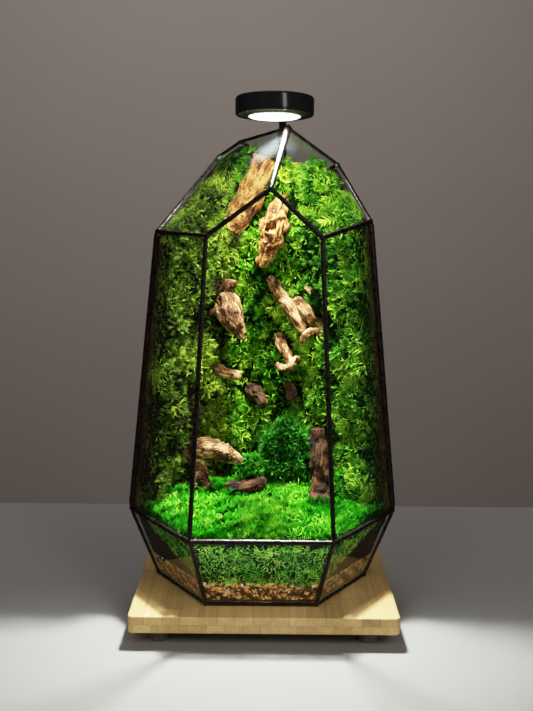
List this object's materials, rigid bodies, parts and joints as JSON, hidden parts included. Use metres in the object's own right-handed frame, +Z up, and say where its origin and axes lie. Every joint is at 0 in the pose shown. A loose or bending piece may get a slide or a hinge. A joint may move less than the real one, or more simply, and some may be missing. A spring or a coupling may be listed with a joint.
{
  "type": "terrarium",
  "caption": "faceted glass jar with dark soldered edges, planted with moss walls, driftwood and gravel, on a bamboo board under a round lamp on a pole",
  "frame": {"origin": "on the table, under the middle of the overall width and depth", "axes": "+Z up, +Y away from the open window at the front, +X to the right seen from the front"},
  "size_m": [0.3212, 0.3, 0.6113],
  "materials": {
    "bamboo": "satin lacquer",
    "foot_plastic": "gloss",
    "came": "dark patina",
    "pane": "clear",
    "lamp_black": "gloss",
    "lens_white": "frosted",
    "fibre": "coarse",
    "soil": "damp",
    "gravel": "wet pebbles",
    "driftwood": "raw",
    "moss_bright": "living moss",
    "moss_olive": "living moss",
    "moss_deep": "living moss",
    "moss_yellow": "living moss"
  },
  "bodies": {
    "root": {"board": "bamboo", "foot_front_left": "foot_plastic", "foot_front_right": "foot_plastic", "foot_back_right": "foot_plastic", "foot_back_left": "foot_plastic", "glass_base": "pane", "glass_lower_front_left": "pane", "glass_lower_front": "pane", "glass_lower_front_right": "pane", "glass_lower_back_right": "pane", "glass_lower_back": "pane", "glass_lower_back_left": "pane", "glass_wall_front_left": "pane", "glass_wall_front_right": "pane", "glass_wall_back_right": "pane", "glass_wall_back": "pane", "glass_wall_back_left": "pane", "glass_roof_left": "pane", "glass_roof_right": "pane", "glass_roof_back": "pane", "came_base": "came", "came_mid_ring": "came", "came_eaves": "came", "came_ridges": "came", "came_upright_left": "came", "came_upright_front_left": "came", "came_upright_front_right": "came", "came_upright_right": "came", "came_upright_back_right": "came", "came_upright_back_left": "came", "lamp_housing": "lamp_black", "lamp_bezel": "lamp_black", "lamp_lens": "lens_white", "lamp_light_plate": "lens_white", "lamp_pole": "lamp_black", "lamp_arm": "lamp_black", "fern_backing": "fibre", "wood_bark_slab": "driftwood", "wood_knobbly_root": "driftwood", "wood_left_chunk": "driftwood", "wood_right_chunk": "driftwood", "wood_forked_piece": "driftwood", "wood_split_stick": "driftwood", "wood_dark_stub_left": "driftwood", "wood_dark_stub_right": "driftwood", "wood_hollow_root_left": "driftwood", "wood_low_log": "driftwood", "wood_hollow_stump": "driftwood", "gravel": "gravel", "moss_front": "moss_bright", "soil": "soil", "moss_mound": "moss_deep", "moss_cushion": "moss_bright", "moss_cushion_right": "moss_yellow", "moss_carpet_left": "moss_bright", "moss_carpet_middle": "moss_yellow", "moss_carpet_right": "moss_bright", "moss_wall_back": "moss_bright", "moss_wall_left": "moss_olive", "moss_wall_right": "moss_deep"}
  },
  "joints": []
}
